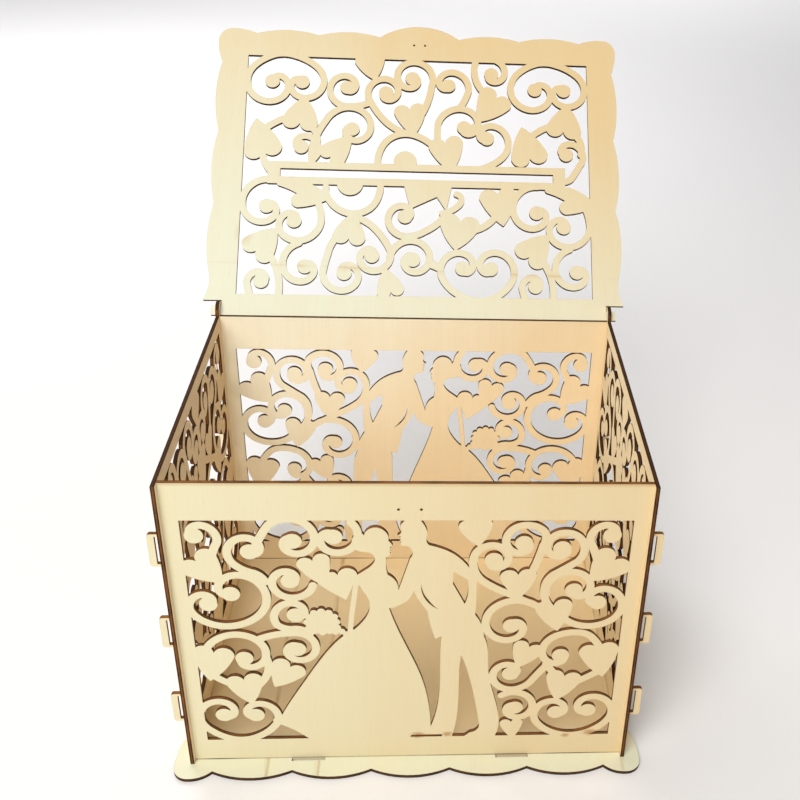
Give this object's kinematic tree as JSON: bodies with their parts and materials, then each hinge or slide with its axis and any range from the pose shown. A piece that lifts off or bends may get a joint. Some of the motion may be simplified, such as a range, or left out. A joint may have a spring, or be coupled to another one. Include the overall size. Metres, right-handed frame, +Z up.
{
  "type": "wedding card box",
  "caption": "Fretted plywood card box with a scalloped base and a slotted lid that tilts back on pivot tabs held in the side walls.",
  "frame": {"origin": "middle of the base plate's underside", "axes": "+Z up, -Y towards the front panel, +X to the right as seen from the front"},
  "size_m": [0.3002, 0.3874, 0.3848],
  "materials": {
    "plywood": "bare pale plywood with dark scorched cut edges"
  },
  "bodies": {
    "case": {"base_plate": "plywood", "front_panel": "plywood", "back_panel": "plywood", "left_side_panel": "plywood", "right_side_panel": "plywood"},
    "lid_body": {"lid": "plywood"}
  },
  "joints": [
    {"name": "lid_hinge", "type": "hinge", "parent": "case", "child": "lid_body", "pos_m": [0, 0.1032, 0.21995], "axis": [1, 0, 0], "range_deg": [0, 134.5]}
  ]
}
